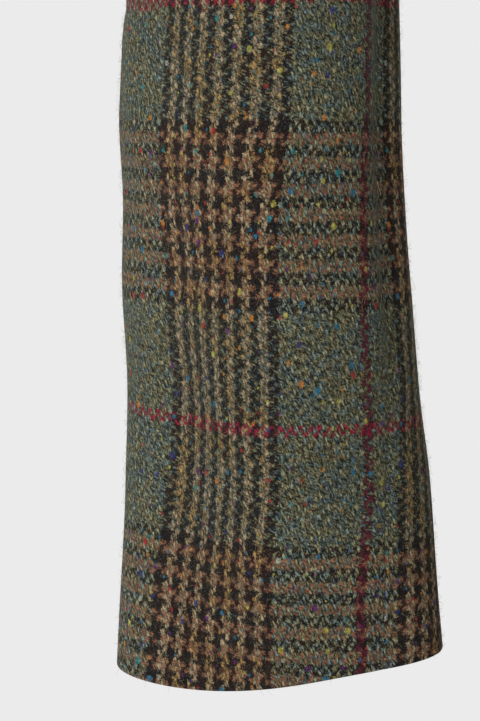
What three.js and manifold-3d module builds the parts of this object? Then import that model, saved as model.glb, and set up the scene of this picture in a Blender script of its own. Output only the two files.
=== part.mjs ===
import * as THREE from 'three';
import { mergeVertices } from 'three/addons/utils/BufferGeometryUtils.js';
import Module from 'manifold-3d';

// A single-breasted tweed blazer in the shape it has when worn, with nobody in it.
// Millimetres, +Z up, the front faces -Y and the wearer's left arm is at +X.
// The origin is the middle of the neck opening, level with the neck ends of the shoulder seams.

const wasm = await Module();
wasm.setup();

// Cloth and seams
const WALL = 2;
const SEAM_GAP = 0.3;
const LAY_GAP = 0.8;
const OVERLAP_GAP = 1.7;
const SMALL_STEP = 0.004;

// Lengths of the body
const HEM_HEIGHT = -722;
const HEM_DIP_AT_FRONT = 8;
const SHOULDER_TIP_HEIGHT = -48;
const FRONT_OVERLAP = 17;
const OVERLAP_LIFT_END = 62;

// Seams of the body, in degrees round from the middle of the front
const SIDE_FRONT_SEAM = 72;
const SIDE_BACK_SEAM = 108;
const ARMHOLE_MIDDLE_HEIGHT = -131.5;
const ARMHOLE_HALF_HEIGHT = 83.5;
const ARMHOLE_HALF_ANGLE = 28;

// Collar and lapels
const GORGE_HEIGHT = -45;
const ROLL_TOP_ACROSS = 72;
const NECK_HALF_WIDTH = 76;
const LEFT_ROLL_START = -395;
const RIGHT_ROLL_START = -294;
const NOTCH = { across: 113, height: -67 };
const LAPEL_TIP = { across: 151, height: -87 };
const COLLAR_TIP = { across: 131, height: -43 };
const LAPEL_FOLD_RADIUS = 3;

// Pocket flaps
const FLAP_TOP = -498;
const FLAP_DEPTH = 54;
const FLAP_FROM = 17;
const FLAP_TO = 60;
const FLAP_DROP = 7;

// Buttons
const BUTTON_RADIUS = 10.5;
const BUTTON_THICKNESS = 3.6;
const BUTTON_HOLE_RADIUS = 1.1;
const BUTTON_HOLE_OFFSET = 2.1;
const BUTTON_SEAT = 0.7;
const BUTTON_HEIGHTS = [-412, -514];

// Sleeves
const BICEPS_HEIGHT = -240;
const CUFF_HEIGHT = -665;
const CUFF_SLANT = 7.5;
const CUFF_LOW_SIDE = 75;
const FRONT_SLEEVE_SEAM = -49;
const BACK_SLEEVE_SEAM = 148;
const ARMHOLE_GAP = 0.9;

// Horizontal sections of the body: half the width, and the depth before and behind the middle.
// square is the exponent of the section's curve, and lean tips a section up towards the back.
const BODY_SECTIONS = [
  { height: -740, half: 202, front: 139, back: 133, square: 2.4, lean: 0 },
  { height: -620, half: 194, front: 133, back: 131, square: 2.4, lean: 0 },
  { height: -520, half: 181, front: 125, back: 120, square: 2.4, lean: 0 },
  { height: -420, half: 167, front: 118, back: 106, square: 2.4, lean: 0 },
  { height: -320, half: 172, front: 128, back: 118, square: 2.45, lean: 0 },
  { height: -215, half: 177, front: 134, back: 128, square: 2.45, lean: 0.01 },
  { height: -140, half: 190, front: 119, back: 122, square: 2.4, lean: 0.05 },
  { height: -80, half: 204, front: 95, back: 107, square: 2.35, lean: 0.1 },
  { height: -48, half: 205, front: 78, back: 94, square: 2.3, lean: 0.13 },
  { height: -24, half: 141, front: 62, back: 81, square: 2.2, lean: 0.17 },
  { height: 0, half: NECK_HALF_WIDTH, front: 42, back: 68, square: 2.05, lean: 0.2 },
];

// The free edge of a front: how far it lies from the middle line, outwards on its own side.
const FRONT_EDGE = [
  { height: -731, across: 92 },
  { height: -724, across: 58 },
  { height: -704, across: 34 },
  { height: -668, across: 14 },
  { height: -600, across: -6 },
  { height: -520, across: -FRONT_OVERLAP },
  { height: LEFT_ROLL_START, across: -FRONT_OVERLAP },
  { height: -220, across: 27 },
  { height: GORGE_HEIGHT, across: ROLL_TOP_ACROSS },
  { height: 0, across: NECK_HALF_WIDTH },
];

// The outer edge of a lapel, from its foot up to its tip.
const LAPEL_EDGE = [
  { height: -395, across: 0 },
  { height: -330, across: 48 },
  { height: -250, across: 92 },
  { height: -160, across: 128 },
  { height: LAPEL_TIP.height, across: LAPEL_TIP.across },
];

// Sections of a sleeve below the armhole. out and fore place the centre, long and short are the
// half axes, turn is the direction of the long one in degrees from the front towards the outside,
// and corner with cornerTurn is the three-cornered push of the cloth at that section.
const SLEEVE_SECTIONS = [
  { height: -670, out: 284, fore: -39, long: 63, short: 31, turn: -77, corner: 1.5, cornerTurn: -12 },
  { height: -600, out: 285, fore: -37, long: 59, short: 36, turn: -70, corner: 3.5, cornerTurn: 4 },
  { height: -565, out: 286, fore: -33, long: 58, short: 40, turn: -61, corner: 4, cornerTurn: 3 },
  { height: -530, out: 288, fore: -28, long: 59, short: 44, turn: -52, corner: 4, cornerTurn: 0 },
  { height: -495, out: 290, fore: -22, long: 58, short: 45, turn: -46, corner: 3, cornerTurn: -5 },
  { height: -460, out: 292, fore: -17, long: 59, short: 47, turn: -40, corner: 2.5, cornerTurn: -8 },
  { height: -390, out: 291, fore: -6, long: 61, short: 48, turn: -22, corner: 2, cornerTurn: -8 },
  { height: -310, out: 261, fore: 7, long: 63, short: 51, turn: -8, corner: 1, cornerTurn: 0 },
  { height: -240, out: 234, fore: 9, long: 67, short: 53, turn: 0, corner: 0, cornerTurn: 0 },
];

// Soft troughs (depth below 0) and ridges (above 0). around and height place the middle,
// tilt leans the fold from upright in degrees, length and width are its half sizes.
const SLEEVE_FOLDS = [
  { around: -50, height: -455, tilt: 0, length: 95, width: 7, depth: -3.5 },
  { around: -68, height: -450, tilt: 0, length: 90, width: 7, depth: 2 },
  { around: -30, height: -352, tilt: 62, length: 46, width: 11, depth: -5 },
  { around: -38, height: -386, tilt: 74, length: 38, width: 10, depth: -4 },
  { around: 40, height: -330, tilt: -48, length: 55, width: 14, depth: -3 },
  { around: 150, height: -372, tilt: 66, length: 50, width: 12, depth: -3.5 },
  { around: 205, height: -300, tilt: 40, length: 60, width: 14, depth: -4 },
  { around: -75, height: -290, tilt: 30, length: 52, width: 12, depth: -4 },
];
const BODY_FOLDS = [
  { around: 24, height: -388, tilt: 64, length: 62, width: 10, depth: -3 },
  { around: 30, height: -436, tilt: -68, length: 70, width: 11, depth: -3 },
  { around: 50, height: -285, tilt: 18, length: 80, width: 14, depth: -4 },
  { around: 62, height: -620, tilt: 6, length: 90, width: 18, depth: -4 },
  { around: 124, height: -310, tilt: -12, length: 75, width: 15, depth: -5 },
  { around: 132, height: -430, tilt: 70, length: 60, width: 12, depth: -4 },
  { around: 140, height: -610, tilt: 5, length: 110, width: 22, depth: -5 },
  { around: 165, height: -395, tilt: 78, length: 48, width: 12, depth: -3 },
];

const TWEED = { color: 0x5d5c48, roughness: 0.95, metalness: 0 };
const TWEED_BACK = { color: 0x555643, roughness: 0.95, metalness: 0 };
const TWEED_SLEEVE = { color: 0x66634c, roughness: 0.95, metalness: 0 };
const COLLAR_TWEED = { color: 0x6b664e, roughness: 0.95, metalness: 0 };
const BUTTON_HORN = { color: 0x3a2a1c, roughness: 0.4, metalness: 0 };

const radians = THREE.MathUtils.degToRad;
const degrees = THREE.MathUtils.radToDeg;
const mix = THREE.MathUtils.lerp;

// Tables

function columnSlope(rows, index, column) {
  const rise = (low) => (rows[low + 1][column] - rows[low][column])
    / (rows[low + 1].height - rows[low].height);
  if (index === 0) return rise(0);
  if (index === rows.length - 1) return rise(index - 1);
  const before = rise(index - 1);
  const after = rise(index);
  return before * after <= 0 ? 0 : 2 * before * after / (before + after);
}

// A row between the rows of a table, on a curve that never swings past them.
function rowAt(rows, height) {
  const held = THREE.MathUtils.clamp(height, rows[0].height, rows[rows.length - 1].height);
  let low = 0;
  while (low < rows.length - 2 && rows[low + 1].height < held) low += 1;
  const span = rows[low + 1].height - rows[low].height;
  const t = (held - rows[low].height) / span;
  const result = {};
  for (const column of Object.keys(rows[0])) {
    const start = rows[low][column];
    const end = rows[low + 1][column];
    const startSlope = columnSlope(rows, low, column) * span;
    const endSlope = columnSlope(rows, low + 1, column) * span;
    result[column] = start * (2 * t ** 3 - 3 * t ** 2 + 1) + startSlope * (t ** 3 - 2 * t ** 2 + t)
      + end * (3 * t ** 2 - 2 * t ** 3) + endSlope * (t ** 3 - t ** 2);
  }
  return result;
}

function smooth(from, to, value) {
  const t = THREE.MathUtils.clamp((value - from) / (to - from), 0, 1);
  return t * t * (3 - 2 * t);
}

// How far a table of folds moves the cloth at one place. radius turns degrees into a length.
function foldDepth(folds, around, height, radius) {
  let depth = 0;
  for (const fold of folds) {
    const turn = ((around - fold.around + 540) % 360) - 180;
    const side = radians(turn) * radius;
    const rise = height - fold.height;
    const lean = radians(fold.tilt);
    const along = rise * Math.cos(lean) + side * Math.sin(lean);
    const over = side * Math.cos(lean) - rise * Math.sin(lean);
    depth += fold.depth * Math.exp(-((over / fold.width) ** 2) - (along / fold.length) ** 4);
  }
  return depth;
}

// The body

function signedPower(value, power) {
  return Math.sign(value) * Math.abs(value) ** power;
}

// A point of the body's outer face. angle is 0 in front, 90 at the side and 180 behind.
function bodyPoint(angle, height) {
  const section = rowAt(BODY_SECTIONS, height);
  const power = 2 / section.square;
  const push = foldDepth(BODY_FOLDS, Math.abs(angle), height, section.half);
  const sine = Math.sin(radians(angle));
  const cosine = Math.cos(radians(angle));
  const depth = cosine > 0 ? section.front : section.back;
  const x = (section.half + push) * signedPower(sine, power);
  const y = -(depth + push) * signedPower(cosine, power);
  return new THREE.Vector3(x, y, height + section.lean * y);
}

function normalOf(face, u, v) {
  const before = face(u - SMALL_STEP, v);
  const after = face(u + SMALL_STEP, v);
  const below = face(u, v - SMALL_STEP);
  const above = face(u, v + SMALL_STEP);
  return after.sub(before).cross(above.sub(below)).normalize();
}

function bodyNormal(angle, height) {
  const face = (u, v) => bodyPoint(angle + 100 * u, height + 100 * v);
  return normalOf(face, 0, 0);
}

function angleAcross(across, height) {
  const section = rowAt(BODY_SECTIONS, height);
  const share = Math.min(Math.abs(across) / section.half, 1);
  return Math.sign(across) * degrees(Math.asin(share ** (section.square / 2)));
}

// The left front lies over the right one, so it stands proud near the middle line.
function overlapLift(across, isUpper) {
  if (!isUpper) return 0;
  return (WALL + OVERLAP_GAP) * (1 - smooth(FRONT_OVERLAP + 5, OVERLAP_LIFT_END, across));
}

function frontPoint(angle, height, out, isUpper) {
  const point = bodyPoint(angle, height);
  const offset = out + overlapLift(point.x, isUpper);
  return point.addScaledVector(bodyNormal(angle, height), offset);
}

function hemHeight(angle) {
  return HEM_HEIGHT - HEM_DIP_AT_FRONT * Math.max(0, Math.cos(radians(angle))) ** 2;
}

// A place on the armhole: turn is 90 at the shoulder tip, 0 in front and 270 under the arm.
function armholePlace(turn) {
  return {
    angle: 90 - ARMHOLE_HALF_ANGLE * Math.cos(radians(turn)),
    height: ARMHOLE_MIDDLE_HEIGHT + ARMHOLE_HALF_HEIGHT * Math.sin(radians(turn)),
  };
}

function armholeTurnAt(angle) {
  return degrees(Math.acos((90 - angle) / ARMHOLE_HALF_ANGLE));
}

// A place between the inner edge of a panel (u = 0) and its outer edge (u = 1).
function placeBetween(inner, outer, u) {
  return { angle: mix(inner.angle, outer.angle, u), height: mix(inner.height, outer.height, u) };
}

const SEAM_SHARE = 0.6;
const EDGE_MIDDLE_HEIGHT = -205;

function frontPlace(u, v) {
  const seamTurn = -armholeTurnAt(SIDE_FRONT_SEAM);
  const lower = v / SEAM_SHARE;
  const upper = Math.min(Math.max((v - SEAM_SHARE) / (1 - SEAM_SHARE), 0), 1);
  const edgeHeight = v < SEAM_SHARE
    ? mix(FRONT_EDGE[0].height, EDGE_MIDDLE_HEIGHT, lower ** 1.6)
    : EDGE_MIDDLE_HEIGHT * (1 - upper) ** 1.6;
  const edgeAngle = angleAcross(rowAt(FRONT_EDGE, edgeHeight).across, edgeHeight);
  const seamHeight = mix(hemHeight(SIDE_FRONT_SEAM), armholePlace(seamTurn).height, lower);
  const outer = v < SEAM_SHARE
    ? { angle: SIDE_FRONT_SEAM, height: seamHeight }
    : armholePlace(mix(seamTurn, 90, upper));
  return placeBetween({ angle: edgeAngle, height: edgeHeight }, outer, u);
}

function backPlace(u, v) {
  const seamTurn = 360 - armholeTurnAt(SIDE_BACK_SEAM);
  const neckStart = 0.86;
  const lower = v / SEAM_SHARE;
  const upper = (v - SEAM_SHARE) / (1 - SEAM_SHARE);
  const neckShare = (v - neckStart) / (1 - neckStart);
  const inner = v < neckStart
    ? { angle: 180, height: HEM_HEIGHT * (1 - v / neckStart) }
    : { angle: mix(180, 90, neckShare), height: 0 };
  const seamHeight = mix(hemHeight(SIDE_BACK_SEAM), armholePlace(seamTurn).height, lower);
  const outer = v < SEAM_SHARE
    ? { angle: SIDE_BACK_SEAM, height: seamHeight }
    : armholePlace(mix(seamTurn, 90, upper));
  return placeBetween(inner, outer, u);
}

function sidePlace(u, v) {
  const angle = mix(SIDE_FRONT_SEAM, SIDE_BACK_SEAM, u);
  const turn = -armholeTurnAt(angle);
  return { angle, height: mix(hemHeight(angle), armholePlace(turn).height, v) };
}

// Walls

function mirrored(point, side) {
  return new THREE.Vector3(point.x * side, point.y, point.z);
}

// Turns a face into a closed wall: the face, a second face WALL behind it, and four rims.
// trim draws an edge back along the face. side -1 mirrors the piece to the wearer's right.
function clothWall(name, finish, face, options) {
  const { columns, rows, side = 1, trim = {}, thickness = WALL, flip = false } = options;
  const facing = flip ? -1 : 1;
  const outer = [];
  const inner = [];
  const gaps = { left: 0, right: 0, bottom: 0, top: 0, ...trim };
  for (let row = 0; row <= rows; row += 1) {
    for (let column = 0; column <= columns; column += 1) {
      const u = column / columns;
      const v = row / rows;
      const point = face(u, v);
      const held = [
        THREE.MathUtils.clamp(u, SMALL_STEP, 1 - SMALL_STEP),
        THREE.MathUtils.clamp(v, SMALL_STEP, 1 - SMALL_STEP),
      ];
      const normal = normalOf(face, held[0], held[1]).multiplyScalar(facing);
      const shift = new THREE.Vector3();
      const draw = (gap, nextU, nextV) => {
        if (gap > 0) shift.add(face(nextU, nextV).sub(point).setLength(gap));
      };
      if (column === 0) draw(gaps.left, u + 1 / columns, v);
      if (column === columns) draw(gaps.right, u - 1 / columns, v);
      if (row === 0) draw(gaps.bottom, u, v + 1 / rows);
      if (row === rows) draw(gaps.top, u, v - 1 / rows);
      point.add(shift);
      outer.push(mirrored(point, side));
      inner.push(mirrored(point.clone().addScaledVector(normal, -thickness), side));
    }
  }
  const stride = columns + 1;
  const count = outer.length;
  const triangles = [];
  const quad = (a, b, c, d) => {
    if (facing * side > 0) triangles.push(a, b, c, a, c, d);
    else triangles.push(a, c, b, a, d, c);
  };
  for (let row = 0; row < rows; row += 1) {
    for (let column = 0; column < columns; column += 1) {
      const at = row * stride + column;
      quad(at, at + 1, at + stride + 1, at + stride);
      quad(count + at, count + at + stride, count + at + stride + 1, count + at + 1);
    }
  }
  for (let column = 0; column < columns; column += 1) {
    const low = column;
    const high = rows * stride + column;
    quad(low, count + low, count + low + 1, low + 1);
    quad(high, high + 1, count + high + 1, count + high);
  }
  for (let row = 0; row < rows; row += 1) {
    const left = row * stride;
    const right = left + columns;
    quad(left, left + stride, count + left + stride, count + left);
    quad(right, count + right, count + right + stride, right + stride);
  }
  const positions = [];
  for (const point of [...outer, ...inner]) positions.push(point.x, point.y, point.z);
  const geometry = new THREE.BufferGeometry();
  geometry.setAttribute('position', new THREE.Float32BufferAttribute(positions, 3));
  geometry.setIndex(triangles);
  geometry.computeVertexNormals();
  const mesh = new THREE.Mesh(geometry, new THREE.MeshStandardMaterial(finish));
  mesh.name = name;
  return mesh;
}

function sideName(side) {
  return side > 0 ? 'left' : 'right';
}

function bodyPanels() {
  const group = new THREE.Group();
  const half = SEAM_GAP * 0.7;
  for (const side of [1, -1]) {
    const isUpper = side > 0;
    const front = (u, v) => {
      const place = frontPlace(u, v);
      return frontPoint(place.angle, place.height, 0, isUpper);
    };
    group.add(clothWall(`front_${sideName(side)}`, TWEED, front, {
      columns: 12, rows: 28, side, trim: { left: half, right: half, top: half },
    }));
    const sideFace = (u, v) => {
      const place = sidePlace(u, v);
      return bodyPoint(place.angle, place.height);
    };
    group.add(clothWall(`side_${sideName(side)}`, TWEED_BACK, sideFace, {
      columns: 5, rows: 16, side, trim: { left: half, right: half, top: half },
    }));
    const back = (u, v) => {
      const place = backPlace(u, v);
      return bodyPoint(place.angle, place.height);
    };
    group.add(clothWall(`back_${sideName(side)}`, TWEED_BACK, back, {
      columns: 10, rows: 26, side, flip: true, trim: { left: half, right: half, top: half },
    }));
  }
  return group;
}

// Lapels and collar

// A cloth edge turned over towards its face: a stand, a half round, then the fall.
// t runs from the root to the free edge, and fallPoint gives the fall from 0 to 1.
function turnedEdge(root, open, normal, sizes, fallPoint, t) {
  const { stand, radius, standShare, foldShare } = sizes;
  const lifted = (along, out) => root.clone().addScaledVector(open, along)
    .addScaledVector(normal, out);
  if (t < standShare) return lifted(stand * t / standShare, 0);
  if (t < standShare + foldShare) {
    const turn = Math.PI * (t - standShare) / foldShare;
    return lifted(stand + radius * Math.sin(turn), radius * (1 - Math.cos(turn)));
  }
  return fallPoint((t - standShare - foldShare) / (1 - standShare - foldShare));
}

function frontEdgeFrame(height, isUpper) {
  const across = rowAt(FRONT_EDGE, height).across;
  const at = (value) => frontPoint(angleAcross(value, height), height, 0, isUpper);
  const point = at(across);
  const open = at(across - 1).sub(point).normalize();
  const raw = bodyNormal(angleAcross(across, height), height);
  const normal = raw.addScaledVector(open, -raw.dot(open)).normalize();
  return { across, point, open, normal };
}

function lapelFace(isUpper) {
  const start = isUpper ? LEFT_ROLL_START : RIGHT_ROLL_START;
  const standShare = 0.02;
  const foldShare = 0.28;
  return (u, v) => {
    const rollHeight = mix(start, GORGE_HEIGHT, v);
    const frame = frontEdgeFrame(rollHeight, isUpper);
    const edgeHeight = mix(start, LAPEL_TIP.height, v);
    const shift = (LAPEL_EDGE[0].height - start) * (1 - v);
    const width = rowAt(LAPEL_EDGE, edgeHeight + shift).across;
    const footWidth = rowAt(FRONT_EDGE, start).across + 14;
    const edgeAcross = Math.max(width, footWidth);
    const root = frame.point.clone().addScaledVector(frame.open, SEAM_GAP * 2)
      .addScaledVector(frame.normal, -WALL);
    const sizes = { stand: 0.2, radius: LAPEL_FOLD_RADIUS, standShare, foldShare };
    const fall = (t) => {
      const across = mix(frame.across, edgeAcross, t);
      const height = mix(rollHeight, edgeHeight, t);
      const rootOut = 2 * LAPEL_FOLD_RADIUS - WALL;
      const out = mix(rootOut, LAY_GAP + WALL, t) + 1.8 * Math.sin(Math.PI * t);
      return frontPoint(angleAcross(across, height), height, out, isUpper);
    };
    return turnedEdge(root, frame.open, frame.normal, sizes, fall, u);
  };
}

const COLLAR_SIDE_SHARE = 0.5;
const COLLAR_TIP_SHARE = 0.88;

// Stand height and fold radius of the collar, from the middle of the back (0) to its front end (1)
const COLLAR_SHAPE = [
  { height: 0, stand: 30, radius: 4.2, outerAngle: 180, outerHeight: -30 },
  { height: 0.25, stand: 29, radius: 4.2, outerAngle: 140, outerHeight: -27 },
  { height: 0.5, stand: 24, radius: 4, outerAngle: 93, outerHeight: -15 },
  { height: 0.7, stand: 12, radius: 3.4, outerAngle: 60, outerHeight: -24 },
  { height: 0.88, stand: 3, radius: 2.8, outerAngle: 0, outerHeight: COLLAR_TIP.height },
  { height: 1, stand: 0.4, radius: LAPEL_FOLD_RADIUS, outerAngle: 0, outerHeight: NOTCH.height },
];

function collarOuterPlace(share) {
  const tipAngle = angleAcross(COLLAR_TIP.across, COLLAR_TIP.height);
  const notchAngle = angleAcross(NOTCH.across, NOTCH.height);
  const rows = COLLAR_SHAPE.map((row) => ({ ...row }));
  rows[4].outerAngle = tipAngle;
  rows[5].outerAngle = notchAngle;
  if (share <= COLLAR_TIP_SHARE) {
    const row = rowAt(rows.slice(0, 5), share);
    return { angle: row.outerAngle, height: row.outerHeight };
  }
  const t = (share - COLLAR_TIP_SHARE) / (1 - COLLAR_TIP_SHARE);
  return {
    angle: mix(tipAngle, notchAngle, t),
    height: mix(COLLAR_TIP.height, NOTCH.height, t),
  };
}

function collarRoot(share) {
  if (share <= COLLAR_SIDE_SHARE) {
    const angle = mix(180, 90, share / COLLAR_SIDE_SHARE);
    const point = bodyPoint(angle, 0);
    const outward = bodyNormal(angle, -1).setZ(0).normalize();
    const open = new THREE.Vector3(0, 0, 1).addScaledVector(outward, -0.2).normalize();
    return { point, outward, open };
  }
  const t = (share - COLLAR_SIDE_SHARE) / (1 - COLLAR_SIDE_SHARE);
  const frame = frontEdgeFrame(GORGE_HEIGHT * Math.max(t, 0.02) ** 1.6, false);
  const side = collarRoot(COLLAR_SIDE_SHARE);
  const turn = smooth(0, 1, t);
  return {
    point: frame.point,
    outward: side.outward.lerp(frame.normal, turn).normalize(),
    open: side.open.lerp(frame.open, turn).normalize(),
  };
}

function collarFace(u, v) {
  const around = 2 * v - 1;
  const share = Math.abs(around);
  const { point, outward, open } = collarRoot(share);
  const shape = rowAt(COLLAR_SHAPE, share);
  const normal = outward.clone().addScaledVector(open, -outward.dot(open)).normalize();
  const root = point.clone().addScaledVector(open, SEAM_GAP * 2).addScaledVector(normal, -WALL);
  const place = collarOuterPlace(share);
  const edge = bodyPoint(place.angle, place.height)
    .addScaledVector(bodyNormal(place.angle, place.height), LAY_GAP + WALL + 0.4);
  const sizes = { stand: shape.stand, radius: shape.radius, standShare: 0.28, foldShare: 0.3 };
  const fold = root.clone().addScaledVector(open, shape.stand)
    .addScaledVector(normal, 2 * shape.radius);
  const bulge = normal.clone().lerp(bodyNormal(place.angle, place.height), 0.5);
  const fall = (t) => fold.clone().lerp(edge, t)
    .addScaledVector(bulge, 3.2 * Math.sin(Math.PI * t));
  const result = turnedEdge(root, open, normal, sizes, fall, u);
  return around < 0 ? mirrored(result, -1) : result;
}

function collarAndLapels() {
  const group = new THREE.Group();
  for (const side of [1, -1]) {
    group.add(clothWall(`lapel_${sideName(side)}`, COLLAR_TWEED, lapelFace(side > 0), {
      columns: 11, rows: 12, side, trim: { top: SEAM_GAP },
    }));
  }
  group.add(clothWall('collar', COLLAR_TWEED, collarFace, {
    columns: 12, rows: 28, trim: { top: SEAM_GAP, bottom: SEAM_GAP },
  }));
  return group;
}

// Pocket flaps lie on the fronts and keep their curve.
function pocketFlaps() {
  const group = new THREE.Group();
  for (const side of [1, -1]) {
    const face = (u, v) => {
      const corner = 1 - Math.max(0, Math.abs(2 * u - 1) - 0.86) * 0.9;
      const angle = mix(FLAP_FROM, FLAP_TO, u);
      const top = FLAP_TOP - FLAP_DROP * u;
      const height = mix(top - FLAP_DEPTH * corner, top, v);
      return frontPoint(angle, height, LAY_GAP + WALL, side > 0);
    };
    group.add(clothWall(`pocket_flap_${sideName(side)}`, TWEED, face, {
      columns: 12, rows: 3, side,
    }));
  }
  return group;
}

// Sleeves

// A sleeve's section curve: an ellipse with a three-cornered push. around is in degrees,
// 0 in front, 90 outside, 180 behind and 270 towards the body.
function sleeveSection(around, height) {
  const section = rowAt(SLEEVE_SECTIONS, height);
  const turn = radians(around - section.turn);
  const ellipse = 1 / Math.hypot(Math.cos(turn) / section.long, Math.sin(turn) / section.short);
  const corner = section.corner * Math.cos(3 * radians(around - section.cornerTurn));
  const fold = foldDepth(SLEEVE_FOLDS, around, height, section.long);
  const radius = ellipse + corner + fold;
  const slant = CUFF_SLANT * Math.cos(radians(around - CUFF_LOW_SIDE));
  return new THREE.Vector3(
    section.out + radius * Math.sin(radians(around)),
    section.fore - radius * Math.cos(radians(around)),
    height - slant * smooth(-520, CUFF_HEIGHT, height),
  );
}

function sleeveCap(around, share) {
  const place = armholePlace(around);
  const start = bodyPoint(place.angle, place.height);
  const leave = new THREE.Vector3(
    0.94,
    -0.24 * Math.cos(radians(around)),
    -0.42 + 0.14 * Math.sin(radians(around)),
  ).normalize();
  start.addScaledVector(leave, ARMHOLE_GAP);
  const end = sleeveSection(around, BICEPS_HEIGHT);
  const arrive = sleeveSection(around, BICEPS_HEIGHT - 6).sub(end).normalize();
  const reach = start.distanceTo(end) * 0.95;
  const t = share;
  return start.multiplyScalar(2 * t ** 3 - 3 * t ** 2 + 1)
    .addScaledVector(leave, reach * (t ** 3 - 2 * t ** 2 + t))
    .addScaledVector(end, 3 * t ** 2 - 2 * t ** 3)
    .addScaledVector(arrive, reach * (t ** 3 - t ** 2));
}

const CAP_SHARE = 0.27;

function sleevePoint(around, along) {
  if (along < CAP_SHARE) return sleeveCap(around, along / CAP_SHARE);
  const height = mix(BICEPS_HEIGHT, CUFF_HEIGHT, (along - CAP_SHARE) / (1 - CAP_SHARE));
  return sleeveSection(around, height);
}

function sleeves() {
  const group = new THREE.Group();
  const half = SEAM_GAP * 0.7;
  const trim = { left: half, right: half };
  for (const side of [1, -1]) {
    const topFace = (u, v) => sleevePoint(mix(FRONT_SLEEVE_SEAM, BACK_SLEEVE_SEAM, u), v);
    const underFace = (u, v) => sleevePoint(mix(BACK_SLEEVE_SEAM, 360 + FRONT_SLEEVE_SEAM, u), v);
    group.add(clothWall(`top_sleeve_${sideName(side)}`, TWEED_SLEEVE, topFace, {
      columns: 16, rows: 26, side, flip: true, trim,
    }));
    group.add(clothWall(`under_sleeve_${sideName(side)}`, TWEED_SLEEVE, underFace, {
      columns: 11, rows: 26, side, flip: true, trim,
    }));
  }
  return group;
}

// Buttons

function solidFrom(geometry) {
  const bare = geometry.clone();
  bare.deleteAttribute('normal');
  bare.deleteAttribute('uv');
  const merged = mergeVertices(bare, 1e-4);
  return new wasm.Manifold(new wasm.Mesh({
    numProp: 3,
    vertProperties: new Float32Array(merged.attributes.position.array),
    triVerts: new Uint32Array(merged.index.array),
  }));
}

function geometryFrom(solid) {
  const mesh = solid.getMesh();
  const geometry = new THREE.BufferGeometry();
  geometry.setAttribute('position', new THREE.BufferAttribute(mesh.vertProperties, 3));
  geometry.setIndex(new THREE.BufferAttribute(mesh.triVerts, 1));
  geometry.computeVertexNormals();
  return geometry;
}

// A four-hole button with a raised rim, turned about its own +Z, its back at z = 0.
function buttonGeometry() {
  const dish = BUTTON_THICKNESS * 0.62;
  const profile = [
    [0, 0],
    [BUTTON_RADIUS - 1.6, 0],
    [BUTTON_RADIUS, BUTTON_THICKNESS * 0.45],
    [BUTTON_RADIUS - 0.4, BUTTON_THICKNESS * 0.85],
    [BUTTON_RADIUS - 1.4, BUTTON_THICKNESS],
    [BUTTON_RADIUS - 2.6, BUTTON_THICKNESS * 0.92],
    [BUTTON_RADIUS - 4.2, dish],
    [0, dish],
  ].map(([radius, height]) => new THREE.Vector2(radius, height));
  const lathe = new THREE.LatheGeometry(profile, 20);
  lathe.rotateX(Math.PI / 2);
  let solid = solidFrom(lathe);
  for (const [x, y] of [[1, 1], [1, -1], [-1, 1], [-1, -1]]) {
    const hole = new THREE.CylinderGeometry(BUTTON_HOLE_RADIUS, BUTTON_HOLE_RADIUS, 20, 8);
    hole.rotateX(Math.PI / 2);
    hole.translate(x * BUTTON_HOLE_OFFSET, y * BUTTON_HOLE_OFFSET, 0);
    solid = solid.subtract(solidFrom(hole));
  }
  return geometryFrom(solid);
}

function buttons() {
  const group = new THREE.Group();
  BUTTON_HEIGHTS.forEach((height, index) => {
    const button = new THREE.Mesh(buttonGeometry(), new THREE.MeshStandardMaterial(BUTTON_HORN));
    const normal = bodyNormal(0, height);
    button.name = `button_${index + 1}`;
    button.quaternion.setFromUnitVectors(new THREE.Vector3(0, 0, 1), normal);
    button.position.copy(frontPoint(0, height, BUTTON_SEAT, true));
    group.add(button);
  });
  return group;
}

const blazer = new THREE.Group();
blazer.add(bodyPanels(), collarAndLapels(), pocketFlaps(), sleeves(), buttons());

export default blazer;
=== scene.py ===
import math

import bmesh
import bpy
import numpy as np
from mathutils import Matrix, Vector


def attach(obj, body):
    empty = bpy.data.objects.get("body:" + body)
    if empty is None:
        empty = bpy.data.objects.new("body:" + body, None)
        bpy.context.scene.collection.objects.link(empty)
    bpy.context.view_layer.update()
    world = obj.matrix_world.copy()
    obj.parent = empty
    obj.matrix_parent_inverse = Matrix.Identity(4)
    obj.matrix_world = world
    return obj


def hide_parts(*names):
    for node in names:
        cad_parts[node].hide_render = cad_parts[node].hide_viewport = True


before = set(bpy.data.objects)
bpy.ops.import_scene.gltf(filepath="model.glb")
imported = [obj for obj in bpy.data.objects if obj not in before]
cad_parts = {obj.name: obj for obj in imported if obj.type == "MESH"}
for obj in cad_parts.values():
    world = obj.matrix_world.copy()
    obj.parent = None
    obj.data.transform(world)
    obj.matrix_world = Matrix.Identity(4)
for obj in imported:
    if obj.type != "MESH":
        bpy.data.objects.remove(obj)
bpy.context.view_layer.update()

# Tweed
# A milled plain weave of woollen yarns. The check has a repeat of 68 yarns each way: a band of
# dark and tan pairs, moss green ground, and a burgundy pair in the middle of the ground.

END_PITCH = 1.7
PICK_PITCH = 2.2
REPEAT = 68
BAND_YARNS = 30
BURGUNDY_FIRST = 48
BURGUNDY_YARNS = 2
DARK_TAN_REPEAT = 4
DARK_YARNS = 2
HALF_YARN = 0.5
MM = 0.001

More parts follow.
